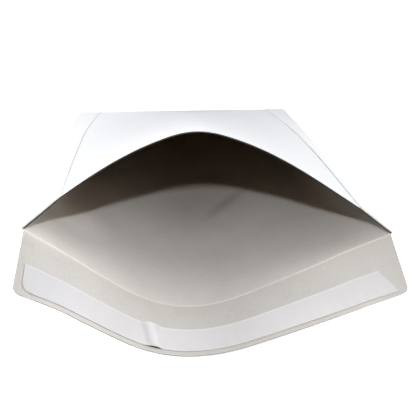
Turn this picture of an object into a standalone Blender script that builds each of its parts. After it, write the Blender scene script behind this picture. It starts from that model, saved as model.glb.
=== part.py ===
# A rigid photo mailer, lying mouth open: one folded board blank with a peel-and-seal strip.
#
# The blank has a back panel that runs on past a score line as the closure flap, two side
# seam flaps, and a front panel turned up at the far fold. The seam flaps wrap round the
# sides and are glued on the outside of the front panel. The pocket is squeezed a little
# from its sides, so the front panel arches up and the back panel bows down.
#
# Working frame: x across the mailer, y from the mouth (0) to the far fold, z up, with the
# side folds near z = 0. An empty then sets the mailer down on its folded end and flap.

import math

import bpy
import bmesh
from mathutils import Matrix, Vector

mm = 0.001
deg = math.radians(1)

# Flat sizes of the blank
board = 0.7 * mm
panel_width = 248 * mm
panel_length = 311 * mm
flap_depth = 36 * mm
flap_corner_radius = 3.5 * mm
seam_flap_at_mouth = 28.6 * mm
seam_flap_at_far_fold = 22.2 * mm
rest_band = 5 * mm                  # pressed-flat end that lies on the surface

# How far the pocket is bowed open
mouth_squeeze = 31.8 * mm           # the side folds come this much closer at the mouth
early_opening = 1.6                 # above 1, the pocket opens faster near the far fold
side_fold_sag = 0.8 * mm            # the side folds bow down half way along
side_fold_sway = 4 * mm             # and more towards the far fold than the mouth
mouth_twist = 3.63 * deg
back_bend_half = 47.8 * mm          # at the mouth the back panel bends this near its bend line
back_bend_line = -14.8 * mm
back_flat_half = 90 * mm            # farther in it lies flat and only its sides turn up
back_bend_growth = 4                # the bend takes over with this power of t
front_bend_line = -13.8 * mm
front_apex_half = 17.9 * mm         # the front panel has a tight bend within a wide one
front_arch_half = 90 * mm
front_arch_share = 0.675
front_flat_half = 50 * mm
front_bend_growth = 1.5
seam_stiffness = 0.121              # extra turn of the double board along each seam

# The closure flap folds down a little from the back panel, least where the panel bends
flap_fold_left = 33.6 * deg
flap_fold_middle = 11.7 * deg
flap_fold_right = 52.4 * deg
flap_taper_left = 21.3 * deg
flap_taper_right = 9.2 * deg

# The glue band on the flap, and the paper that covers it
layer_gap = 0.3 * mm
glue_thickness = 0.2 * mm
glue_inset = 1.2 * mm               # the glue stays this far inside the liner's edges
liner_thickness = 0.2 * mm
liner_width = 14.4 * mm
liner_edge_border = 3.2 * mm        # board left bare along the flap's outer edge
liner_left_end = 120.5 * mm         # both ends measured from the mailer's middle
liner_right_end = 118.5 * mm
liner_right_slant = 9 * mm
liner_corner_radius = 4.5 * mm
wrinkle_place = -42 * mm            # a small pucker where the flap bends
wrinkle_half = 4.5 * mm
wrinkle_height = 1.1 * mm

# How finely the curved sheets are divided
seam_columns = 3
panel_columns = 40
length_rows = 14
flap_rows = 4
liner_columns = 66
liner_rows = 4

half_width = panel_width / 2


def clamp(value, low, high):
    return max(low, min(high, value))


def bend(place, half, line):
    # -1 on one side of a bend line, +1 on the other, turning smoothly between
    return math.sin(math.pi / 2 * clamp((place - line) / half, -1, 1))


def opening(t):
    # How far the pocket is open at t, from 0 at the far fold to 1 at the mouth
    return early_opening * t + (1 - early_opening) * t ** 2


def side_turn(place, flat_half):
    # A sheet that is flat in the middle and turns up only near its sides
    turned_up = clamp((abs(place) - flat_half) / (half_width - flat_half), 0, 1)
    return math.copysign(turned_up, place)


def back_turn(place, t):
    bent = t ** back_bend_growth
    keel = bend(place, back_bend_half, back_bend_line)
    return bent * keel + (1 - bent) * side_turn(place, back_flat_half)


def front_turn(place, t):
    bent = t ** front_bend_growth
    arch = front_arch_share * bend(place, front_arch_half, front_bend_line)
    apex = (1 - front_arch_share) * bend(place, front_apex_half, front_bend_line)
    stiff = seam_stiffness if abs(place) > half_width - seam_width(t) else 0
    sides = (1 - bent) * side_turn(place, front_flat_half)
    return bent * (arch + apex) + sides + math.copysign(stiff, place)


def section(turn, amount, places, t, side):
    # Walks across the sheet, then levels its two ends on z = 0. side is +1 up, -1 down.
    x, z = 0.0, 0.0
    points = [(x, z)]
    for start, end in zip(places, places[1:]):
        angle = amount * turn((start + end) / 2, t)
        x += (end - start) * math.cos(angle)
        z -= (end - start) * math.sin(angle)
        points.append((x, z))
    slope = math.atan2(z, x)
    chord = math.hypot(x, z)
    level = []
    for px, pz in points:
        along = px * math.cos(slope) + pz * math.sin(slope) - chord / 2
        level.append((along, side * (pz * math.cos(slope) - px * math.sin(slope))))
    return level, chord


def amount_for_chord(turn, places, t, chord):
    low, high = 0.0, 1.5
    for _ in range(50):
        middle = (low + high) / 2
        if section(turn, middle, places, t, 1)[1] > chord:
            low = middle
        else:
            high = middle
    return low


def seam_width(t):
    return seam_flap_at_far_fold + (seam_flap_at_mouth - seam_flap_at_far_fold) * t


def board_places(t):
    # Places across the sheet, with a column on each seam and some round the flap's corners
    edge = seam_width(t)
    strip = [0, flap_corner_radius * 0.3, flap_corner_radius]
    for i in range(1, seam_columns + 1):
        strip.append(flap_corner_radius + (edge - flap_corner_radius) * i / seam_columns)
    left = [-half_width + s for s in strip]
    right = [half_width - s for s in reversed(strip)]
    span = 2 * (half_width - edge)
    middle = [left[-1] + span * i / panel_columns for i in range(1, panel_columns)]
    return left + middle + right


seam_index = seam_columns + 2
mouth_places = board_places(1)
columns = len(mouth_places)


def sheet_rows(turn, side):
    # Rows of points from the far fold to the mouth, each kept its own length along the card
    rows = []
    step = (panel_length - rest_band) / length_rows
    for i in range(length_rows + 1):
        t = i / length_rows
        places = board_places(t)
        chord = panel_width - mouth_squeeze * opening(t) ** 2
        amount = amount_for_chord(turn, places, t, chord)
        flat = section(turn, amount, places, t, side)[0]
        lift = -t * (1 - t) * (side_fold_sag * 4 + side_fold_sway * (1 - 2 * t))
        roll = Matrix.Rotation(mouth_twist * t, 3, "Y")
        row = [roll @ Vector((x, 0, z + lift)) for x, z in flat]
        for j, point in enumerate(row):
            if i == 0:
                point.y = panel_length - rest_band
            else:
                across = point - rows[-1][j]
                point.y = rows[-1][j].y - math.sqrt(step ** 2 - across.x ** 2 - across.z ** 2)
        rows.append(row)
    return rows


def unit_normals(rows, i, up):
    # Normals along row i from its neighbours, all turned to the side that up points to
    ahead = rows[min(i + 1, len(rows) - 1)]
    behind = rows[max(i - 1, 0)]
    normals = []
    for j in range(columns):
        across = rows[i][min(j + 1, columns - 1)] - rows[i][max(j - 1, 0)]
        normal = across.cross(ahead[j] - behind[j]).normalized()
        normals.append(normal if normal.dot(up) > 0 else -normal)
    return normals


down = Vector((0, 0, -1))
back_rows = sheet_rows(back_turn, -1)
front_rows = sheet_rows(front_turn, 1)
for front_row, back_row in zip(front_rows, back_rows):
    front_row[0] = back_row[0]
    front_row[-1] = back_row[-1]


def flap_lines():
    # For each column: where it leaves the score line, and its direction over the flap
    crease = back_rows[-1]
    normals = unit_normals(back_rows, length_rows, down)
    lines = []
    for j, place in enumerate(mouth_places):
        u = place / half_width
        along = (crease[min(j + 1, columns - 1)] - crease[max(j - 1, 0)]).normalized()
        ahead = normals[j].cross(along)
        ahead = ahead if ahead.y < 0 else -ahead
        skew = (flap_fold_right - flap_fold_left) / 2 * u
        dish = ((flap_fold_right + flap_fold_left) / 2 - flap_fold_middle) * u * u
        fold = flap_fold_middle + skew + dish
        taper = (flap_taper_left - flap_taper_right) / 2 - (flap_taper_left + flap_taper_right) / 2 * u
        folded = ahead * math.cos(fold) + normals[j] * math.sin(fold)
        lines.append((crease[j], folded * math.cos(taper) + along * math.sin(taper)))
    return lines


flap = flap_lines()


def flap_reach(place):
    # The flap's depth at a place across it, cut back round its corners
    inboard = half_width - abs(place)
    short = flap_corner_radius - inboard
    if short <= 0:
        return flap_depth
    return flap_depth - flap_corner_radius + math.sqrt(max(flap_corner_radius ** 2 - short ** 2, 0))


flap_sheet = []
for i in range(flap_rows + 1):
    reach = [flap_reach(place) * i / flap_rows for place in mouth_places]
    flap_sheet.append([start + line * depth for (start, line), depth in zip(flap, reach)])


def rest_slope():
    # The steepest fall from the underside of the folded end to anything nearer the mouth
    heel = Vector((0, panel_length - rest_band, -board))
    slope = 0.0
    for rows in (back_rows[1:], flap_sheet):
        for i, row in enumerate(rows):
            for point, normal in zip(row, unit_normals(rows, i, down)):
                under = point + normal * board
                slope = max(slope, math.atan2(heel.z - under.z, heel.y - under.y))
    return slope


tilt = rest_slope()
band_way = Vector((0, math.cos(tilt), math.sin(tilt)))
band_down = Vector((0, math.sin(tilt), -math.cos(tilt)))


def outer_loop(inner_back, inner_front, back_normals, front_normals, squash, push):
    # One closed ring round the outside: under the back panel, round the right side fold,
    # over the front panel with a step at each seam, and round the left side fold
    def lifted(point, offset):
        return point + offset * squash + push

    ring = [lifted(p, n * board) for p, n in zip(inner_back, back_normals)]
    ring += side_nose(inner_back[-1], back_normals[-1], front_normals[-1], 1, lifted)
    last = columns - 1
    for j in range(last, -1, -1):
        thick = 2 * board if j <= seam_index or j >= last - seam_index else board
        levels = [thick]
        if j == last - seam_index:
            levels = [2 * board, board]
        if j == seam_index:
            levels = [board, 2 * board]
        ring += [lifted(inner_front[j], front_normals[j] * level) for level in levels]
    ring += side_nose(inner_back[0], back_normals[0], front_normals[0], -1, lifted)[::-1]
    return ring


def side_nose(corner, back_normal, front_normal, side, lifted):
    out = Vector((side, 0, 0))
    points = []
    for share, toward in ((0.25, back_normal), (0.5, out), (0.75, front_normal)):
        way = (out + toward).normalized()
        points.append(lifted(corner, way * board * (1 + share)))
    return points


nose_points = 3
first_front = columns + nose_points          # the ring's first point over the front panel
front_points = columns + 2
ring_length = first_front + front_points + nose_points


def front_ring_index(j, outer=False):
    # Where column j of the front panel is in the ring. A seam column has two points there:
    # outer is the one on top of the seam flap.
    last = columns - 1
    place = first_front + (last - j)
    if j < last - seam_index or (j == last - seam_index and not outer):
        place += 1
    if j < seam_index or (j == seam_index and outer):
        place += 1
    return place


def skin(bm, low, high, closed=False):
    count = len(low)
    for k in range(count if closed else count - 1):
        n = (k + 1) % count
        bm.faces.new((low[k], low[n], high[n], high[k]))


def board_mesh():
    bm = bmesh.new()

    def verts(points):
        return [bm.verts.new(p) for p in points]

    # Inside of the pocket, closed as a wedge at the far fold and along both side folds
    inner_back = [verts(row) for row in back_rows]
    inner_front = [inner_back[0]]
    for back, row in zip(inner_back[1:], front_rows[1:]):
        inner_front.append([back[0]] + verts(row[1:-1]) + [back[-1]])
    for i in range(length_rows):
        skin(bm, inner_back[i], inner_back[i + 1])
        skin(bm, inner_front[i], inner_front[i + 1])

    # The score line shares the back panel's and the flap's normals
    flap_normals = [unit_normals(flap_sheet, i, down) for i in range(flap_rows + 1)]
    back_normals = [unit_normals(back_rows, i, down) for i in range(length_rows + 1)]
    front_normals = [unit_normals(front_rows, i, -down) for i in range(length_rows + 1)]
    back_normals[0] = [band_down] * columns
    front_normals[0] = [-band_down] * columns
    shared = [(a + b).normalized() for a, b in zip(back_normals[-1], flap_normals[0])]
    back_normals[-1] = [s / s.dot(n) for s, n in zip(shared, flap_normals[0])]

    # Outside of the pocket, then the pressed-flat end and its rounded nose
    still = Vector((0, 0, 0))
    rings = []
    for i in range(length_rows, -1, -1):
        ring = outer_loop(back_rows[i], front_rows[i], back_normals[i], front_normals[i], 1, still)
        rings.append(verts(ring))
    for angle in (0, 40 * deg, 75 * deg):
        push = band_way * (rest_band + board * math.sin(angle))
        flat = back_rows[0]
        ring = outer_loop(flat, flat, back_normals[0], front_normals[0], math.cos(angle), push)
        rings.append(verts(ring))
    for one, two in zip(rings, rings[1:]):
        skin(bm, one, two, closed=True)
    close_far_end(bm, rings[-1])

    # The mouth's cut edge on the front panel, and the folded corners beside it
    mouth = rings[0]
    close_mouth(bm, inner_front[-1], mouth)
    for corner, fan in ((inner_back[-1][-1], mouth[columns - 1:first_front + 1]),
                        (inner_back[-1][0], mouth[first_front + front_points - 1:] + mouth[:1])):
        for a, b in zip(fan, fan[1:]):
            bm.faces.new((corner, a, b))

    # The closure flap runs on from the back panel
    top = [inner_back[-1]] + [verts(row) for row in flap_sheet[1:]]
    under = [mouth[:columns]]
    for row, normals in zip(flap_sheet[1:], flap_normals[1:]):
        under.append(verts([p + n * board for p, n in zip(row, normals)]))
    for i in range(flap_rows):
        skin(bm, top[i], top[i + 1])
        skin(bm, under[i], under[i + 1])
    skin(bm, top[-1], under[-1])
    for j in (0, columns - 1):
        skin(bm, [row[j] for row in top], [row[j] for row in under])
    return finished(bm, "mailer_board")


def close_far_end(bm, ring):
    last = columns - 1
    for j in range(last):
        in_seam = j < seam_index or j >= last - seam_index
        right = ring[front_ring_index(j + 1, in_seam)]
        left = ring[front_ring_index(j, in_seam)]
        bm.faces.new((ring[j], ring[j + 1], right, left))
    for j in (seam_index, last - seam_index):
        bm.faces.new((ring[j], ring[front_ring_index(j)], ring[front_ring_index(j, True)]))
    bm.faces.new(ring[last:first_front + 1])
    bm.faces.new(ring[first_front + front_points - 1:] + ring[:1])


def close_mouth(bm, inner, ring):
    last = columns - 1
    for j in range(last):
        in_seam = j < seam_index or j >= last - seam_index
        right = ring[front_ring_index(j + 1, in_seam)]
        left = ring[front_ring_index(j, in_seam)]
        bm.faces.new((inner[j], inner[j + 1], right, left))
    for j in (seam_index, last - seam_index):
        bm.faces.new((inner[j], ring[front_ring_index(j)], ring[front_ring_index(j, True)]))


def finished(bm, name):
    bmesh.ops.triangulate(bm, faces=[f for f in bm.faces if len(f.verts) > 4])
    bmesh.ops.recalc_face_normals(bm, faces=bm.faces)
    mesh = bpy.data.meshes.new(name)
    bm.to_mesh(mesh)
    bm.free()
    mesh.shade_smooth()
    mesh.set_sharp_from_angle(angle=30 * deg)
    return mesh


def on_flap(place, depth, height):
    # A point above the inside of the flap, between the board's own columns
    place = clamp(place, mouth_places[0], mouth_places[-1])
    j = 0
    while j < columns - 2 and mouth_places[j + 1] < place:
        j += 1
    share = (place - mouth_places[j]) / (mouth_places[j + 1] - mouth_places[j])
    start = flap[j][0].lerp(flap[j + 1][0], share)
    line = flap[j][1].lerp(flap[j + 1][1], share)
    normal = flap_up[j].lerp(flap_up[j + 1], share).normalized()
    return start + line * depth + normal * height


flap_up = unit_normals(flap_sheet, 1, -down)


def corner_cut(near, radius):
    # How far a rounded corner takes the edge in, at this distance from the corner
    short = max(radius - near, 0)
    return radius - math.sqrt(max(radius ** 2 - short ** 2, 0))


def strip_mesh(name, low, thickness, inset, pucker):
    # A thin band across the flap: inner and outer edge from the score line, and two ends
    outer = flap_depth - liner_edge_border - inset
    inner = flap_depth - liner_edge_border - liner_width + inset
    bm = bmesh.new()
    top, under = [], []
    for i in range(liner_rows + 1):
        across = i / liner_rows
        depth = inner + (outer - inner) * across
        left = -liner_left_end + inset + corner_cut(outer - depth, liner_corner_radius)
        right = liner_right_end - inset - liner_right_slant * (1 - across)
        top_row, under_row = [], []
        for k in range(liner_columns + 1):
            place = left + (right - left) * k / liner_columns
            swell = math.exp(-((place - wrinkle_place) / wrinkle_half) ** 2) * across ** 2
            rise = low + pucker * swell
            under_row.append(bm.verts.new(on_flap(place, depth, rise)))
            top_row.append(bm.verts.new(on_flap(place, depth, rise + thickness)))
        top.append(top_row)
        under.append(under_row)
    for rows in (top, under):
        for one, two in zip(rows, rows[1:]):
            skin(bm, one, two)
    skin(bm, top[0], under[0])
    skin(bm, top[-1], under[-1])
    skin(bm, [row[0] for row in top], [row[0] for row in under])
    skin(bm, [row[-1] for row in top], [row[-1] for row in under])
    return finished(bm, name)


def material(name, color, roughness):
    made = bpy.data.materials.new(name)
    made.use_nodes = True
    shader = made.node_tree.nodes["Principled BSDF"]
    shader.inputs["Base Color"].default_value = (*color, 1)
    shader.inputs["Roughness"].default_value = roughness
    shader.inputs["Metallic"].default_value = 0
    return made


def add_piece(mesh, parent, finish):
    mesh.materials.append(finish)
    piece = bpy.data.objects.new(mesh.name, mesh)
    piece.parent = parent
    bpy.context.collection.objects.link(piece)
    return piece


def set_down(stand, mesh):
    # Turns the mailer on to its folded end and flap, with the middle of its box at the origin
    turn = Matrix.Rotation(-tilt, 3, "X")
    points = [turn @ v.co for v in mesh.vertices]
    low = Vector([min(p[k] for p in points) for k in range(3)])
    high = Vector([max(p[k] for p in points) for k in range(3)])
    stand.rotation_euler = (-tilt, 0, 0)
    stand.location = (-(low.x + high.x) / 2, -(low.y + high.y) / 2, -low.z)


for old in list(bpy.data.objects):
    bpy.data.objects.remove(old, do_unlink=True)

stand = bpy.data.objects.new("mailer_pose", None)
bpy.context.collection.objects.link(stand)
board_sheet = board_mesh()
set_down(stand, board_sheet)
add_piece(board_sheet, stand, material("coated_board", (0.80, 0.80, 0.80), 0.55))

glue_top = layer_gap + glue_thickness
glue = strip_mesh("adhesive_strip", layer_gap, glue_thickness, glue_inset, 0)
add_piece(glue, stand, material("seal_adhesive", (0.74, 0.68, 0.52), 0.35))
liner = strip_mesh("release_liner", glue_top + layer_gap, liner_thickness, 0, wrinkle_height)
add_piece(liner, stand, material("liner_paper", (0.85, 0.85, 0.87), 0.4))
bpy.context.view_layer.update()
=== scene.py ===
# Photo mailer: a folded board blank, bowed open, with a glue strip and its release paper.
# The blank is laid out flat, then every point is put where the bowed pocket carries it.

import math

import bpy
import bmesh
from mathutils import Matrix, Vector


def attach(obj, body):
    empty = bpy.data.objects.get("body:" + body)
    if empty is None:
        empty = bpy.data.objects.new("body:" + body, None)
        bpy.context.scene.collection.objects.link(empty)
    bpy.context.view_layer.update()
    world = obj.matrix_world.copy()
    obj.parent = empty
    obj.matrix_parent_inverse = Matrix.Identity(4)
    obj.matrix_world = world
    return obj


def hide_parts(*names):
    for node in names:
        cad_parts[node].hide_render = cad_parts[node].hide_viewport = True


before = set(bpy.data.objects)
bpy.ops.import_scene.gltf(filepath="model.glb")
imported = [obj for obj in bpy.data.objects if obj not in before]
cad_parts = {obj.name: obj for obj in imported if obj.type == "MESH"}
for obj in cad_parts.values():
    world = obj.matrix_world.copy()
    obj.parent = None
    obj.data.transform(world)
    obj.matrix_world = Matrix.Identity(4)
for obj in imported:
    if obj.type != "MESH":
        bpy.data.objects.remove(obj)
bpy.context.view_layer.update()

mm = 0.001
deg = math.radians(1)
scene = bpy.context.scene

# the bowed mailer, with the same named values as the part's source
mailer = {
    "board": 0.7 * mm,
    "width": 248 * mm,
    "length": 311 * mm,
    "flapDepth": 36 * mm,
    "flapCorner": 3.5 * mm,
    "seamAtMouth": 28.6 * mm,
    "seamAtFold": 22.2 * mm,
    "restBand": 5 * mm,           # pressed flat at the far fold
    "mouthSqueeze": 31.8 * mm,
    "earlyOpening": 1.6,
    "sideSag": 0.8 * mm,
    "sideSway": 4 * mm,
    "mouthTwist": 3.63 * deg,
    "backBendHalf": 47.8 * mm,
    "backBendLine": -14.8 * mm,
    "backFlatHalf": 90 * mm,
    "backBendGrowth": 4,
    "frontBendLine": -13.8 * mm,
    "frontApexHalf": 17.9 * mm,
    "frontArchHalf": 90 * mm,
    "frontArchShare": 0.675,
    "frontFlatHalf": 50 * mm,
    "frontBendGrowth": 1.5,
    "seamStiffness": 0.121,
    "flapFold": (33.6 * deg, 11.7 * deg, 52.4 * deg),     # left, middle, right
    "flapTaper": (21.3 * deg, 9.2 * deg),
    "tilt": 0.198264,
    "standAt": (0, -0.132324, 0.060972),
    "cornerRound": (6.0 * mm, 3.0 * mm),   # far corners in plan, left and right
    "cutBevel": 0.13 * mm,
    "mergeWithin": 0.004 * mm,
}
crease = {      # the scored line, with places measured from it into the pocket
    "beadHeight": 0.34 * mm,
    "beadPlace": -0.25 * mm,
    "beadWidth": 0.5 * mm,
    "groovePlace": 1.05 * mm,
    "grooveWidth": 0.45 * mm,
    "grooveShare": 0.45,          # of the bead's height
}

halfWidth = mailer["width"] / 2
board = mailer["board"]
reach = mailer["length"] - mailer["restBand"]      # from the mouth to the flattened band


def clamp(value, low, high):
    return max(low, min(high, value))


def bendTurn(place, half, line):
    return math.sin(math.pi / 2 * clamp((place - line) / half, -1, 1))


def sideTurn(place, flat):
    return math.copysign(clamp((abs(place) - flat) / (halfWidth - flat), 0, 1), place)


def seamWidth(t):
    # t is 0 at the flattened band and 1 at the mouth, here and below
    return mailer["seamAtFold"] + (mailer["seamAtMouth"] - mailer["seamAtFold"]) * t


def backTurn(place, t):
    # bent along the middle at the mouth, flat with turned-up sides farther in
    bent = t ** mailer["backBendGrowth"]
    keel = bendTurn(place, mailer["backBendHalf"], mailer["backBendLine"])
    return bent * keel + (1 - bent) * sideTurn(place, mailer["backFlatHalf"])


def frontTurn(place, t):
    # an arch with a tighter apex at the mouth, flatter farther in, stiffer where the seam flaps are
    share = mailer["frontArchShare"]
    arch = share * bendTurn(place, mailer["frontArchHalf"], mailer["frontBendLine"])
    apex = (1 - share) * bendTurn(place, mailer["frontApexHalf"], mailer["frontBendLine"])
    stiff = mailer["seamStiffness"] if abs(place) > halfWidth - seamWidth(t) else 0
    bent = t ** mailer["frontBendGrowth"]
    sides = (1 - bent) * sideTurn(place, mailer["frontFlatHalf"])
    return bent * (arch + apex) + sides + math.copysign(stiff, place)


def section(turns, steps, amount, side):
    # walks across the sheet, then levels its two ends
    x, z = 0.0, 0.0
    points = [(x, z)]
    for turn, step in zip(turns, steps):
        x += step * math.cos(amount * turn)
        z -= step * math.sin(amount * turn)
        points.append((x, z))
    slope, chord = math.atan2(z, x), math.hypot(x, z)
    c, s = math.cos(slope), math.sin(slope)
    return [(px * c + pz * s - chord / 2, side * (pz * c - px * s)) for px, pz in points], chord


mostBend = 1.5       # radians
halvings = 40


def amountForChord(turns, steps, chord):
    low, high = 0.0, mostBend
    for _ in range(halvings):
        middle = (low + high) / 2
        if section(turns, steps, middle, 1)[1] > chord:
            low = middle
        else:
            high = middle
    return low


# spacing of the points on the blank, finer where it turns sharply
edgeStrip = [s * mm for s in (0, 0.2, 0.5, 1.1, 1.8, 2.6, 3.5)]      # from each side
mouthStrip = [s * mm for s in (0, 0.25, 0.5, 0.75, 1.0, 1.3, 1.7, 2.2, 3.0)]      # into the pocket
creaseStrip = [s * mm for s in (0, 0.25, 0.5, 0.75, 1.0, 1.3, 1.7, 2.4, 3.6, 5.5)]      # over the flap
rimStrip = [s * mm for s in (0, 0.5, 1, 1.6, 2.4, 3.4, 4.6, 6)]      # from the flap's outer edge
seamParts, middleParts = 10, 96
pocketStep, pocketRows = 5.05 * mm, 60
flapStart, flapStep, flapMiddleRows = 8 * mm, 2.55 * mm, 9


def boardPlaces(t):
    seam = seamWidth(t)
    rest = seam - edgeStrip[-1]
    strip = edgeStrip + [edgeStrip[-1] + rest * k / seamParts for k in range(1, seamParts + 1)]
    span = 2 * (halfWidth - seam)
    left = [-halfWidth + s for s in strip]
    middle = [left[-1] + span * k / middleParts for k in range(1, middleParts)]
    return left + middle + [halfWidth - s for s in reversed(strip)]


seamColumn = len(edgeStrip) + seamParts - 1
mouthPlaces = boardPlaces(1)
lastColumn = len(mouthPlaces) - 1


def turnsAt(turn, t):
    places = boardPlaces(t)
    steps = [b - a for a, b in zip(places, places[1:])]
    turns = [turn((a + b) / 2, t) for a, b in zip(places, places[1:])]
    return turns, steps


def sheetRows():
    # rows of points of the back and the front panel, far fold first
    fromMouth = [reach - pocketStep * k for k in range(pocketRows)] + mouthStrip[::-1]
    back, front = [], []
    for i, distance in enumerate(fromMouth):
        t = 1 - distance / reach
        step = fromMouth[i - 1] - distance
        opening = mailer["earlyOpening"] * t + (1 - mailer["earlyOpening"]) * t ** 2
        chord = mailer["width"] - mailer["mouthSqueeze"] * opening ** 2
        lift = -t * (1 - t) * (mailer["sideSag"] * 4 + mailer["sideSway"] * (1 - 2 * t))
        roll = Matrix.Rotation(mailer["mouthTwist"] * t, 3, "Y")
        for rows, turn, side in ((back, backTurn, -1), (front, frontTurn, 1)):
            turns, steps = turnsAt(turn, t)
            flat = section(turns, steps, amountForChord(turns, steps, chord), side)[0]
            row = [roll @ Vector((x, 0, z + lift)) for x, z in flat]
            for j, point in enumerate(row):
                if i == 0:
                    point.y = reach
                else:
                    across = point - rows[-1][j]
                    point.y = rows[-1][j].y - math.sqrt(step ** 2 - across.x ** 2 - across.z ** 2)
            rows.append(row)
        front[-1][0], front[-1][-1] = back[-1][0], back[-1][-1]
    return back, front


def normalsOf(rows, up):
    normals = []
    for i, row in enumerate(rows):
        ahead, behind = rows[min(i + 1, len(rows) - 1)], rows[max(i - 1, 0)]
        line = []
        for j in range(len(row)):
            across = row[min(j + 1, lastColumn)] - row[max(j - 1, 0)]
            normal = across.cross(ahead[j] - behind[j]).normalized()
            line.append(normal if normal.z * up > 0 else -normal)
        normals.append(line)
    return normals


backRows, frontRows = sheetRows()
backNormals, frontNormals = normalsOf(backRows, -1), normalsOf(frontRows, 1)
bandWay = Vector((0, math.cos(mailer["tilt"]), math.sin(mailer["tilt"])))
bandDown = Vector((0, math.sin(mailer["tilt"]), -math.cos(mailer["tilt"])))
backNormals[0] = [bandDown] * (lastColumn + 1)
frontNormals[0] = [-bandDown] * (lastColumn + 1)


def flapLines():
    # for each column, the way that it runs over the flap from the score line
    scoreLine, normals = backRows[-1], backNormals[-1]
    left, middle, right = mailer["flapFold"]
    taperLeft, taperRight = mailer["flapTaper"]
    lines = []
    for j, place in enumerate(mouthPlaces):
        u = place / halfWidth
        along = (scoreLine[min(j + 1, lastColumn)] - scoreLine[max(j - 1, 0)]).normalized()
        ahead = normals[j].cross(along)
        ahead = ahead if ahead.y < 0 else -ahead
        fold = middle + (right - left) / 2 * u + ((right + left) / 2 - middle) * u * u
        taper = (taperLeft - taperRight) / 2 - (taperLeft + taperRight) / 2 * u
        folded = ahead * math.cos(fold) + normals[j] * math.sin(fold)
        lines.append(folded * math.cos(taper) + along * math.sin(taper))
    return lines


flapWay = flapLines()


def flapReach(place):
    # the flap's depth there, less in its rounded corners
    corner = mailer["flapCorner"]
    short = corner - (halfWidth - abs(place))
    if short <= 0:
        return mailer["flapDepth"]
    return mailer["flapDepth"] - corner + math.sqrt(max(corner ** 2 - short ** 2, 0))


flapDepths = creaseStrip + [flapStart + flapStep * k for k in range(flapMiddleRows)]
flapDepths += [mailer["flapDepth"] - s for s in reversed(rimStrip)]
flapParts = len(flapDepths) - 1
flapRows = []
for depth in flapDepths:
    share = depth / mailer["flapDepth"]
    flapRows.append([backRows[-1][j] + flapWay[j] * flapReach(mouthPlaces[j]) * share
                     for j in range(lastColumn + 1)])
flapNormals = normalsOf(flapRows, -1)
for j in range(lastColumn + 1):     # the score line shares the normals of both sides
    shared = (backNormals[-1][j] + flapNormals[1][j]).normalized()
    backNormals[-1][j] = flapNormals[0][j] = shared / shared.dot(flapNormals[1][j])
print("mailer: bowed shape worked out,", len(backRows), "rows of", lastColumn + 1)


def scored(rows, normals, rowsAway):
    # the scored line stands up a little, with a shallow groove on its pocket side
    raised = []
    for row, line, away in zip(rows, normals, rowsAway):
        ridge = math.exp(-((away - crease["beadPlace"]) / crease["beadWidth"]) ** 2)
        groove = math.exp(-((away - crease["groovePlace"]) / crease["grooveWidth"]) ** 2)
        height = crease["beadHeight"] * (ridge - crease["grooveShare"] * groove)
        raised.append([p - n * height for p, n in zip(row, line)])
    return raised


faceSlots = ("outside", "inside", "cut", "frontInside", "shadedMouthCut", "seamCut")


def bentGrid(bm, across, along, place, finish, blank=None, bands=()):
    # a flat grid of quads, each point then put where place(i, j) says
    made = bmesh.ops.create_grid(bm, x_segments=across, y_segments=along, size=1)
    spot = {}
    for v in made["verts"]:
        spot[v] = round((v.co.x + 1) / 2 * across), round((v.co.y + 1) / 2 * along)
    uv = bm.loops.layers.uv.verify()
    faces = {f for v in spot for f in v.link_faces}
    for f in faces:
        column = min(spot[v][0] for v in f.verts)
        f.material_index = faceSlots.index("seamCut" if column in bands else finish)
        for loop in f.loops:
            i, j = spot[loop.vert]
            loop[uv].uv = blank(i, j) if blank else (0, 0)
    for v, (i, j) in spot.items():
        v.co = place(i, j)


def onBlank(rowsAway):
    # the point's place on the flat blank, in metres, for materials that follow the sheet
    return lambda i, j: (mouthPlaces[i], rowsAway[j])


noseShares = (0.1, 0.22, 0.36, 0.5, 0.64, 0.78, 0.9)      # points round a side fold
nosePoints = len(noseShares)


def outerRing(back, front, backWay, frontWay, squash=1, push=Vector((0, 0, 0))):
    # one closed ring round the outside of the pocket, stepped at each seam flap
    def put(point, offset):
        return point + offset * squash + push

    def nose(corner, downWay, upWay, side):
        points = []
        for share in noseShares:
            toward = downWay if share < 0.5 else upWay
            out = Vector((side, 0, 0)) * (1 - abs(2 * share - 1)) + toward * abs(2 * share - 1)
            points.append(put(corner, out.normalized() * board * (1 + share)))
        return points

    ring = [put(p, n * board) for p, n in zip(back, backWay)]
    ring += nose(back[-1], backWay[-1], frontWay[-1], 1)
    for j in range(lastColumn, -1, -1):
        high = j <= seamColumn or j >= lastColumn - seamColumn
        levels = [2 * board if high else board]
        if j == lastColumn - seamColumn:
            levels = [2 * board, board]
        if j == seamColumn:
            levels = [board, 2 * board]
        ring += [put(front[j], frontWay[j] * level) for level in levels]
    ring += nose(back[0], backWay[0], frontWay[0], -1)[::-1]
    return ring + ring[:1]


def roundFarCorners(bm):
    # the two corners of the far fold are rounded in plan
    bandStart = Vector((0, reach, 0))
    side = halfWidth + 1.5 * board
    for v in bm.verts:
        gap = mailer["restBand"] + board - (v.co - bandStart).dot(bandWay)
        radius = mailer["cornerRound"][0 if v.co.x < 0 else 1]
        past = abs(v.co.x) - (side - radius)
        if v.co.y < mailer["length"] - 3 * radius or gap > radius or past <= 0:
            continue
        allowed = math.sqrt(max(radius ** 2 - (radius - max(gap, 0)) ** 2, 0)) / radius
        v.co.x = math.copysign(side - radius + past * allowed, v.co.x)


def openEdges(bm):
    return [e for e in bm.edges if len(e.link_faces) != 2]


bandRows = (1.2 * mm, 2.4 * mm, 3.6 * mm, 4.4 * mm)      # over the flattened band
foldAngles = range(0, 91, 15)                            # round the far fold


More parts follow.
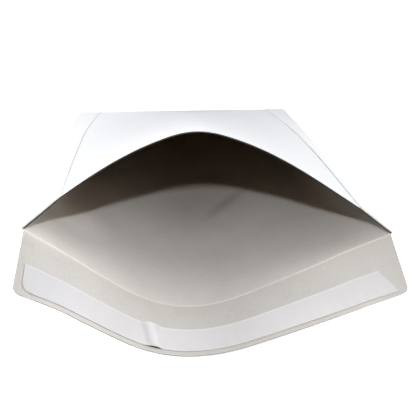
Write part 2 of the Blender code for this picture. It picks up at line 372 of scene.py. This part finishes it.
def makeBoard():
    bm = bmesh.new()
    lastRow = len(backRows) - 1
    rowsAway = [(row[0] - backRows[-1][0]).length for row in backRows]
    back = scored(backRows, backNormals, rowsAway)

    def frontInside(i, j):
        return frontRows[j][i] if 0 < i < lastColumn else back[j][i]

    bentGrid(bm, lastColumn, lastRow, lambda i, j: back[j][i], "inside", onBlank(rowsAway))
    bentGrid(bm, lastColumn, lastRow, frontInside, "frontInside", onBlank(rowsAway))

    # outside, from the mouth to the far fold and round its nose
    rings = []
    for i in range(lastRow, -1, -1):
        rings.append(outerRing(backRows[i], frontRows[i], backNormals[i], frontNormals[i]))
    flat = backRows[0]
    ends = [(0, out) for out in bandRows] + [(angle, mailer["restBand"]) for angle in foldAngles]
    for angle, out in ends:
        push = bandWay * (out + board * math.sin(angle * deg))
        squash = math.cos(angle * deg)
        rings.append(outerRing(flat, flat, backNormals[0], frontNormals[0], squash, push))
    firstFront = lastColumn + 1 + nosePoints
    flapEdges = (firstFront + seamColumn, firstFront + lastColumn - seamColumn + 1)
    bentGrid(bm, len(rings[0]) - 1, len(rings) - 1, lambda i, j: rings[j][i], "outside", bands=flapEdges)

    # the cut edge of the front panel at the mouth, two boards thick over the seam flaps; its inner layer
    # is painted near black as shade
    def mouthWall(first, count, layer, finish):
        def place(i, j):
            column, level = first + i, layer + j
            return frontInside(column, lastRow) + frontNormals[-1][column] * board * level
        bentGrid(bm, count, 1, place, finish)

    mouthWall(0, seamColumn, 0, "shadedMouthCut")
    mouthWall(0, seamColumn, 1, "cut")
    mouthWall(seamColumn, lastColumn - 2 * seamColumn, 0, "shadedMouthCut")
    mouthWall(lastColumn - seamColumn, seamColumn, 0, "shadedMouthCut")
    mouthWall(lastColumn - seamColumn, seamColumn, 1, "cut")

    # the closure flap, its upper and under side and its cut edge
    away = [-depth for depth in flapDepths]
    top = scored(flapRows, flapNormals, away)
    under = [[p + n * board for p, n in zip(row, line)] for row, line in zip(flapRows, flapNormals)]
    bentGrid(bm, lastColumn, flapParts, lambda i, j: top[j][i], "inside", onBlank(away))
    bentGrid(bm, lastColumn, flapParts, lambda i, j: under[j][i], "outside")
    bentGrid(bm, lastColumn, 1, lambda i, j: (top, under)[j][-1][i], "cut")
    for column in (0, lastColumn):
        bentGrid(bm, flapParts, 1, lambda i, j: (top, under)[j][i][column], "cut")

    bmesh.ops.remove_doubles(bm, verts=bm.verts, dist=mailer["mergeWithin"])
    filled = bmesh.ops.holes_fill(bm, edges=openEdges(bm), sides=0)["faces"]
    for f in filled:
        f.material_index = faceSlots.index("cut")
    bmesh.ops.triangulate(bm, faces=filled)
    roundFarCorners(bm)
    bmesh.ops.recalc_face_normals(bm, faces=bm.faces)

    cutFaces = {faceSlots.index("cut"), faceSlots.index("shadedMouthCut")}
    sharp = [e for e in bm.edges if len(e.link_faces) == 2 and e.is_convex
             and e.calc_face_angle(0) > 60 * deg and {f.material_index for f in e.link_faces} & cutFaces]
    bmesh.ops.bevel(bm, geom=sharp, offset=mailer["cutBevel"], affect="EDGES", segments=2, profile=0.5,
                    material=-1, clamp_overlap=True)
    return settled(bm, "mailerBoard")


def settled(bm, name):
    # turned on to its folded end and flap, as the part stands
    turn = Matrix.Rotation(-mailer["tilt"], 3, "X")
    bmesh.ops.rotate(bm, verts=bm.verts, cent=(0, 0, 0), matrix=turn)
    bmesh.ops.translate(bm, verts=bm.verts, vec=mailer["standAt"])
    print(name + ":", len(bm.faces), "faces, open edges", len(openEdges(bm)))
    mesh = bpy.data.meshes.new(name)
    bm.to_mesh(mesh)
    bm.free()
    mesh.shade_smooth()
    mesh.set_sharp_from_angle(angle=40 * deg)
    piece = bpy.data.objects.new(name, mesh)
    scene.collection.objects.link(piece)
    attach(piece, "root")
    return piece


mailerBoard = makeBoard()
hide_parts("mailer_board")


# release paper, and the glue strip that it covers
liner = {
    "thick": 0.15 * mm,
    "lift": 0.27 * mm,
    "innerEdge": 18.4 * mm,        # from the score line
    "outerEdge": 33.3 * mm,
    "leftEnd": -120.5 * mm,
    "rightEnd": 118.5 * mm,
    "rightSlant": 9 * mm,
    "cornerRadius": 4.8 * mm,
    "puckerPlace": -39.4 * mm,
    "puckerHalf": 4.3 * mm,
    "puckerHeight": 1.9 * mm,
    "puckerTaper": 0.2,            # how much it narrows and sinks towards the outer edge
    "puckerSides": 6,              # the higher, the steeper
    "ripple": 0.05 * mm,
    "rippleTurns": (0.31, 0.83),   # radians for each mm
    "rippleShift": 1.4,
    "columns": 320,
    "rows": 16,
    "mergeWithin": 0.002 * mm,
}
glue = {
    "thick": 0.18 * mm,
    "lift": 0.06 * mm,
    "inset": 0.4 * mm,
}
levelRow = 14      # a row of the flap well clear of the crease, whose normals the strips follow


def onFlap(place, depth, height):
    place = clamp(place, mouthPlaces[0], mouthPlaces[-1])
    j = 0
    while j < lastColumn - 1 and mouthPlaces[j + 1] < place:
        j += 1
    share = (place - mouthPlaces[j]) / (mouthPlaces[j + 1] - mouthPlaces[j])
    start = backRows[-1][j].lerp(backRows[-1][j + 1], share)
    way = flapWay[j].lerp(flapWay[j + 1], share)
    normal = -flapNormals[levelRow][j].lerp(flapNormals[levelRow][j + 1], share).normalized()
    return start + way * depth + normal * height


def makeStrip(name, lift, thick, inset, pucker, ripple):
    across, along = liner["columns"], liner["rows"]
    inner, outer = liner["innerEdge"] + inset, liner["outerEdge"] - inset
    radius = liner["cornerRadius"]
    firstTurns, secondTurns = liner["rippleTurns"]

    def place(height):
        def at(i, j):
            share = j / along
            depth = inner + (outer - inner) * share
            short = max(radius - (outer - depth), 0)
            cut = radius - math.sqrt(max(radius ** 2 - short ** 2, 0))
            left = liner["leftEnd"] + inset + cut
            right = liner["rightEnd"] - inset - liner["rightSlant"] * (1 - share)
            x = left + (right - left) * i / across
            taper = 1 - liner["puckerTaper"] * share
            fromPucker = (x - liner["puckerPlace"]) / (liner["puckerHalf"] * taper)
            swell = pucker * taper / (1 + fromPucker ** liner["puckerSides"])
            wave = math.sin(x / mm * firstTurns) + math.sin(x / mm * secondTurns + liner["rippleShift"])
            return onFlap(x, depth, height + swell + ripple * wave * share)
        return at

    def blank(i, j):
        return i / across, j / along

    bm = bmesh.new()
    top, under = place(lift + thick), place(lift)
    bentGrid(bm, across, along, top, "outside", blank)
    bentGrid(bm, across, along, under, "outside", blank)
    for j in (0, along):
        bentGrid(bm, across, 1, lambda i, k: (under, top)[k](i, j), "outside")
    for i in (0, across):
        bentGrid(bm, along, 1, lambda j, k: (under, top)[k](i, j), "outside")
    bmesh.ops.remove_doubles(bm, verts=bm.verts, dist=liner["mergeWithin"])
    bmesh.ops.recalc_face_normals(bm, faces=bm.faces)
    return settled(bm, name)


glueStrip = makeStrip("glueStrip", glue["lift"], glue["thick"], glue["inset"], 0, 0)
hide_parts("adhesive_strip")
releasePaper = makeStrip("releasePaper", liner["lift"], liner["thick"], 0,
                         liner["puckerHeight"], liner["ripple"])
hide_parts("release_liner")


# finishes, each with its grain, flecks and faint unevenness, and smooth painted light and shade on the
# board and the paper
finish = {
    "white": (0.468, 0.477, 0.495),
    "grey": (0.475, 0.452, 0.43),
    "shaded": (0.30, 0.262, 0.222),     # the front panel's inside: the grey board painted darker and browner as shade
    "edge": (0.60, 0.59, 0.57),
    # the mouth's cut edge, painted near black as shade
    "shadedMouthEdge": (0.008, 0.008, 0.006),
    "seamEdge": (0.56, 0.57, 0.58),
    "paper": (0.467, 0.459, 0.466),
    "glue": (0.30, 0.21, 0.07),
}


class Finish:
    # a small helper that adds and joins shader nodes
    def __init__(self, name, roughness):
        self.made = bpy.data.materials.new(name)
        self.made.use_nodes = True
        self.tree = self.made.node_tree
        self.shader = self.tree.nodes["Principled BSDF"]
        self.shader.inputs["Roughness"].default_value = roughness
        self.coord = self.add("ShaderNodeTexCoord").outputs["Object"]

    def add(self, kind, **values):
        node = self.tree.nodes.new(kind)
        for key, value in values.items():
            setattr(node, key, value)
        return node

    def join(self, start, end):
        self.tree.links.new(start, end)

    def feed(self, value, socket):
        # a number, a colour or what another node gives
        if isinstance(value, (int, float)):
            socket.default_value = value
        elif isinstance(value, tuple):
            socket.default_value = (*value, 1)
        else:
            self.join(value, socket)

    def stretched(self, scale):
        node = self.add("ShaderNodeMapping")
        node.inputs["Scale"].default_value = scale
        self.join(self.coord, node.inputs["Vector"])
        return node.outputs["Vector"]

    def part(self, vector, axis):
        split = self.add("ShaderNodeSeparateXYZ")
        self.join(vector, split.inputs["Vector"])
        return split.outputs[axis]

    def blankPart(self, axis):
        # X runs across the flat blank, Y away from the score line into the pocket, in metres
        return self.part(self.add("ShaderNodeTexCoord").outputs["UV"], axis)

    def noise(self, scale, detail=3, rough=0.5, vector=None):
        node = self.add("ShaderNodeTexNoise")
        node.inputs["Scale"].default_value = scale
        node.inputs["Detail"].default_value = detail
        node.inputs["Roughness"].default_value = rough
        self.join(vector or self.coord, node.inputs["Vector"])
        return node.outputs["Fac"]

    def ramp(self, source, low, high, lowValue=0, highValue=1):
        node = self.add("ShaderNodeMapRange")
        node.inputs["From Min"].default_value = low
        node.inputs["From Max"].default_value = high
        node.inputs["To Min"].default_value = lowValue
        node.inputs["To Max"].default_value = highValue
        self.join(source, node.inputs["Value"])
        return node.outputs["Result"]

    def math(self, operation, a, b=0):
        node = self.add("ShaderNodeMath", operation=operation)
        self.feed(a, node.inputs[0])
        self.feed(b, node.inputs[1])
        return node.outputs[0]

    def blend(self, amount, a, b, how="MIX"):
        node = self.add("ShaderNodeMix", data_type="RGBA", blend_type=how)
        self.feed(amount, node.inputs[0])
        self.feed(a, node.inputs[6])
        self.feed(b, node.inputs[7])
        return node.outputs[2]

    def band(self, source, middle, core, rim):
        # 1 within core of the middle, 0 past rim
        return self.ramp(self.math("ABSOLUTE", self.math("SUBTRACT", source, middle)), core, rim, 1, 0)

    def spot(self, oval):
        # 1 in the middle of an oval on the flat blank, 0 at its rim and beyond
        across, away, wide, deep, turn = oval
        node = self.add("ShaderNodeMapping", vector_type="TEXTURE")
        node.inputs["Location"].default_value = (across, away, 0)
        node.inputs["Rotation"].default_value = (0, 0, turn)
        node.inputs["Scale"].default_value = (wide, deep, 1)
        self.join(self.add("ShaderNodeTexCoord").outputs["UV"], node.inputs["Vector"])
        oval = self.add("ShaderNodeTexGradient", gradient_type="SPHERICAL")
        self.join(node.outputs["Vector"], oval.inputs["Vector"])
        return oval.outputs["Fac"]

    def tinted(self, tone, amount, tint):
        # a colour, or one number for all three of its parts
        tint = tint if isinstance(tint, tuple) else (tint, tint, tint)
        return self.blend(amount, tone, self.blend(1.0, tone, tint, "MULTIPLY"))

    def color(self, source):
        self.join(source, self.shader.inputs["Base Color"])

    def bump(self, height, strength, distance):
        node = self.add("ShaderNodeBump")
        node.inputs["Strength"].default_value = strength
        node.inputs["Distance"].default_value = distance
        self.join(height, node.inputs["Height"])
        self.join(node.outputs["Normal"], self.shader.inputs["Normal"])


def shade(color, factor):
    return tuple(c * factor for c in color)


def whiteCoating():
    m = Finish("whiteCoating", 0.55)
    m.shader.inputs["Specular IOR Level"].default_value = 0.3
    cloudy = m.ramp(m.noise(14, 4), 0.35, 0.65)
    fibre = m.ramp(m.noise(900, 4, 0.6), 0.4, 0.62)
    tone = m.blend(cloudy, shade(finish["white"], 0.975), finish["white"])
    tone = m.blend(fibre, tone, shade(finish["white"], 1.01))
    # painted light: paler towards both sides, most at the left
    x = m.part(m.coord, "X")
    tone = m.tinted(tone, m.ramp(x, -110 * mm, 0, 1, 0), 1.42)
    m.color(m.tinted(tone, m.ramp(x, 20 * mm, 110 * mm), 1.08))
    m.join(m.ramp(m.noise(500, 3), 0.3, 0.7, 0.5, 0.62), m.shader.inputs["Roughness"])
    m.bump(m.noise(1100, 4, 0.6), 0.08, 0.1 * mm)
    return m.made


# painted light and shade over the grey side of the flat blank, as smooth changes of tone
tones = {
    "deepShadeSpot": (-5 * mm, 112 * mm, 66 * mm, 50 * mm, 0),     # across, away, half sizes, turn
    "deepShadeTint": 0.73,
    "streakShadeSpot": (24 * mm, 108 * mm, 32 * mm, 8 * mm, 42 * deg),
    "streakShadeTint": (0.72, 0.71, 0.70),
    "leftLightSpot": (-95 * mm, 56 * mm, 30 * mm, 26 * mm, 0),
    "leftLightTint": 1.24,
    "farLightRange": (150 * mm, 240 * mm),
    "farLightTint": (1.8, 1.8, 1.85),
    "middle": 1 * mm,
    "half": 124.5 * mm,
    "shadedFrom": 132 * mm,        # at the middle, and nearer the mouth towards the sides
    "shadedCurve": 2.5,
    "shadedTint": (0.84, 0.73, 0.62),
    "sideLightTint": 1.1,
    "flapShadeTint": (0.81, 0.815, 0.81),
    "leftFlapShade": (-125 * mm, -80 * mm),
    "leftFlapShadeTint": (0.85, 0.85, 0.855),
    "creaseMiddle": -0.1 * mm,
    "creaseHighlightTint": (1.16, 1.16, 1.15),
}


def greyBoard(name, grey):
    m = Finish(name, 0.88)
    grain = m.noise(1, 4, 0.62, m.stretched((1500, 420, 900)))
    cloudy = m.ramp(m.noise(55, 5, 0.6), 0.3, 0.7)
    tone = m.blend(cloudy, shade(grey, 0.93), shade(grey, 1.05))
    fibres = m.blend(m.ramp(grain, 0.36, 0.64), shade(grey, 0.93), shade(grey, 1.07))
    tone = m.blend(0.5, tone, fibres)
    fleck = m.ramp(m.noise(1300, 2, 0.5), 0.69, 0.75)
    tone = m.blend(m.math("MULTIPLY", fleck, 0.55), tone, shade(grey, 0.5))
    pale = m.ramp(m.noise(760, 2, 0.5), 0.68, 0.76)
    tone = m.blend(m.math("MULTIPLY", pale, 0.35), tone, shade(grey, 1.45))

    # painted shade deep in the middle and in a faint streak, and painted light at the left and the far end
    across, away = m.blankPart("X"), m.blankPart("Y")
    tone = m.tinted(tone, m.ramp(m.spot(tones["deepShadeSpot"]), 0, 0.8), tones["deepShadeTint"])
    tone = m.tinted(tone, m.spot(tones["streakShadeSpot"]), tones["streakShadeTint"])
    tone = m.tinted(tone, m.ramp(m.spot(tones["leftLightSpot"]), 0, 0.6), tones["leftLightTint"])
    tone = m.tinted(tone, m.ramp(away, *tones["farLightRange"]), tones["farLightTint"])

    # browner where the front panel shades it, past a line that is curved on the blank
    fromMiddle = m.math("ABSOLUTE", m.math("SUBTRACT", across, tones["middle"]))
    side = m.math("DIVIDE", fromMiddle, tones["half"])
    curve = m.math("SUBTRACT", 1, m.math("POWER", side, tones["shadedCurve"]))
    line = m.math("MULTIPLY", curve, tones["shadedFrom"])
    pastLine = m.ramp(m.math("SUBTRACT", away, line), -6 * mm, 1 * mm)
    shaded = m.math("MULTIPLY", pastLine, m.ramp(side, 0.8, 0.97, 1, 0))
    tone = m.tinted(tone, shaded, tones["shadedTint"])
    # painted light: paler towards both sides
    tone = m.tinted(tone, m.ramp(side, 0.4, 0.9), tones["sideLightTint"])

    # painted shade: a little darker on the flap, most at its left, and a painted highlight along the
    # crease
    tone = m.tinted(tone, m.ramp(away, -1.5 * mm, 0, 1, 0), tones["flapShadeTint"])
    leftFlapShade = m.math("MULTIPLY", m.ramp(across, *tones["leftFlapShade"], 1, 0), m.ramp(away, -6 * mm, 0, 1, 0))
    tone = m.tinted(tone, leftFlapShade, tones["leftFlapShadeTint"])
    creaseHighlight = m.band(away, tones["creaseMiddle"], 0.3 * mm, 0.7 * mm)
    m.color(m.tinted(tone, creaseHighlight, tones["creaseHighlightTint"]))
    m.bump(grain, 0.14, 0.2 * mm)
    return m.made


def cutBoard(name, edge):
    m = Finish(name, 0.85)
    torn = m.ramp(m.noise(1700, 3, 0.6), 0.35, 0.65)
    m.color(m.blend(torn, shade(edge, 0.82), shade(edge, 1.12)))
    m.bump(m.noise(2400, 3), 0.3, 0.2 * mm)
    return m.made


def linerPaper():
    m = Finish("linerPaper", 0.6)
    m.shader.inputs["Specular IOR Level"].default_value = 0.3
    cloudy = m.ramp(m.noise(30, 4), 0.35, 0.65)
    tone = m.blend(cloudy, shade(finish["paper"], 0.97), shade(finish["paper"], 1.02))
    # painted shade to the left, and a painted highlight along its inner edge
    share = m.blankPart("X")
    tone = m.tinted(tone, m.ramp(share, 0, 0.45, 1, 0), (0.86, 0.86, 0.87))
    tone = m.tinted(tone, m.ramp(m.blankPart("Y"), 0.02, 0.09, 1, 0), 1.1)
    # painted shade on the pucker's left slope and painted light on its right slope
    width = liner["rightEnd"] - liner["leftEnd"]
    middle = (liner["puckerPlace"] - liner["leftEnd"]) / width
    past = m.math("DIVIDE", m.math("SUBTRACT", share, middle), liner["puckerHalf"] / width)
    tone = m.tinted(tone, m.band(past, -0.72, 0.2, 0.5), (0.93, 0.91, 0.93))
    m.color(m.tinted(tone, m.band(past, 0.45, 0.2, 0.6), (1.08, 1.08, 1.07)))
    m.bump(m.noise(90, 3), 0.1, 0.5 * mm)
    return m.made


def amberGlue():
    m = Finish("amberGlue", 0.3)
    streak = m.ramp(m.noise(1, 3, 0.5, m.stretched((60, 700, 300))), 0.35, 0.65)
    m.color(m.blend(streak, shade(finish["glue"], 0.75), shade(finish["glue"], 1.2)))
    m.bump(m.noise(400, 2), 0.15, 0.2 * mm)
    return m.made


boardFinishes = {
    "outside": whiteCoating(),
    "inside": greyBoard("greyBoard", finish["grey"]),
    "cut": cutBoard("cutBoard", finish["edge"]),
    # the front panel's inside takes the grey board painted darker and browner as shade
    "frontInside": greyBoard("shadedBoard", finish["shaded"]),
    "shadedMouthCut": cutBoard("shadedMouthCut", finish["shadedMouthEdge"]),
    "seamCut": cutBoard("seamCut", finish["seamEdge"]),
}
for slot in faceSlots:
    mailerBoard.data.materials.append(boardFinishes[slot])
releasePaper.data.materials.append(linerPaper())
glueStrip.data.materials.append(amberGlue())
print("finishes: done")


# floor, lights and camera
studio = {
    "floor": (0.86, 0.86, 0.86),
    "floorGlow": 0.75,
    "floorHalf": 8,
    "floorDrop": 0.4 * mm,       # below the surface that the mailer stands on
    "backdrop": (1.0, 1.0, 1.0),
    "aim": (0, -0.08, 0.04),
}
lamps = {      # place, size and watts
    "keyLamp": ((-0.024, -0.21, 0.208), 0.006, 0.293),
    "frontLeft": ((-0.9, -0.9, 0.6), 0.8, 2.3),
    "frontRight": ((0.9, -0.9, 0.6), 0.8, 4.8),
    "highLeft": ((-0.9, -0.2, 1.0), 0.8, 2.7),
    "highRight": ((0.9, -0.2, 1.0), 0.8, 12.2),
    "backLeft": ((-0.9, 0.9, 0.8), 0.8, 6.3),
    "backRight": ((0.9, 0.9, 0.8), 0.8, 5.1),
    "sideLeft": ((-1.2, 0.1, 0.5), 0.6, 15.0),
    "sideRight": ((1.2, 0.1, 0.5), 0.6, 10.6),
}
camera = {
    "place": (-0.030915, -0.323863, 0.222191),
    "turn": (53.3664 * deg, -1.7667 * deg, -6.0458 * deg),
    "lens": 37.38,
    "sensor": 36,
    "nearest": 0.01,
}

bm = bmesh.new()
bmesh.ops.create_grid(bm, x_segments=1, y_segments=1, size=studio["floorHalf"])
bmesh.ops.translate(bm, verts=bm.verts, vec=(0, 0, -studio["floorDrop"]))
floorMesh = bpy.data.meshes.new("floor")
bm.to_mesh(floorMesh)
bm.free()
floor = bpy.data.objects.new("floor", floorMesh)
scene.collection.objects.link(floor)
floorFinish = bpy.data.materials.new("paleFloor")
floorFinish.use_nodes = True
floorShader = floorFinish.node_tree.nodes["Principled BSDF"]
floorShader.inputs["Base Color"].default_value = (*studio["floor"], 1)
floorShader.inputs["Roughness"].default_value = 0.9
floorShader.inputs["Emission Color"].default_value = (1, 1, 1, 1)
floorShader.inputs["Emission Strength"].default_value = studio["floorGlow"]
floorMesh.materials.append(floorFinish)
floor.visible_diffuse = False

for name, (place, size, watts) in lamps.items():
    lamp = bpy.data.lights.new(name, "AREA")
    lamp.shape, lamp.size, lamp.energy = "DISK", size, watts
    holder = bpy.data.objects.new(name, lamp)
    holder.location = place
    holder.rotation_euler = (Vector(studio["aim"]) - Vector(place)).to_track_quat("-Z", "Y").to_euler()
    holder.visible_camera = False
    scene.collection.objects.link(holder)

world = bpy.data.worlds.new("studio")
scene.world = world
world.use_nodes = True
backdrop = world.node_tree.nodes["Background"]
backdrop.inputs["Color"].default_value = (*studio["backdrop"], 1)
backdrop.inputs["Strength"].default_value = 1
world.cycles_visibility.diffuse = False      # a white backdrop that doesn't light the mailer
world.cycles_visibility.glossy = False
scene.view_settings.view_transform = "Standard"

viewer = bpy.data.cameras.new("viewer")
viewer.sensor_width, viewer.lens = camera["sensor"], camera["lens"]
viewer.clip_start = camera["nearest"]
viewerObject = bpy.data.objects.new("viewer", viewer)
viewerObject.location = camera["place"]
viewerObject.rotation_euler = camera["turn"]
scene.collection.objects.link(viewerObject)
scene.camera = viewerObject
print("studio: floor, lamps and camera set")

bpy.context.view_layer.update()
print("scene: ready")
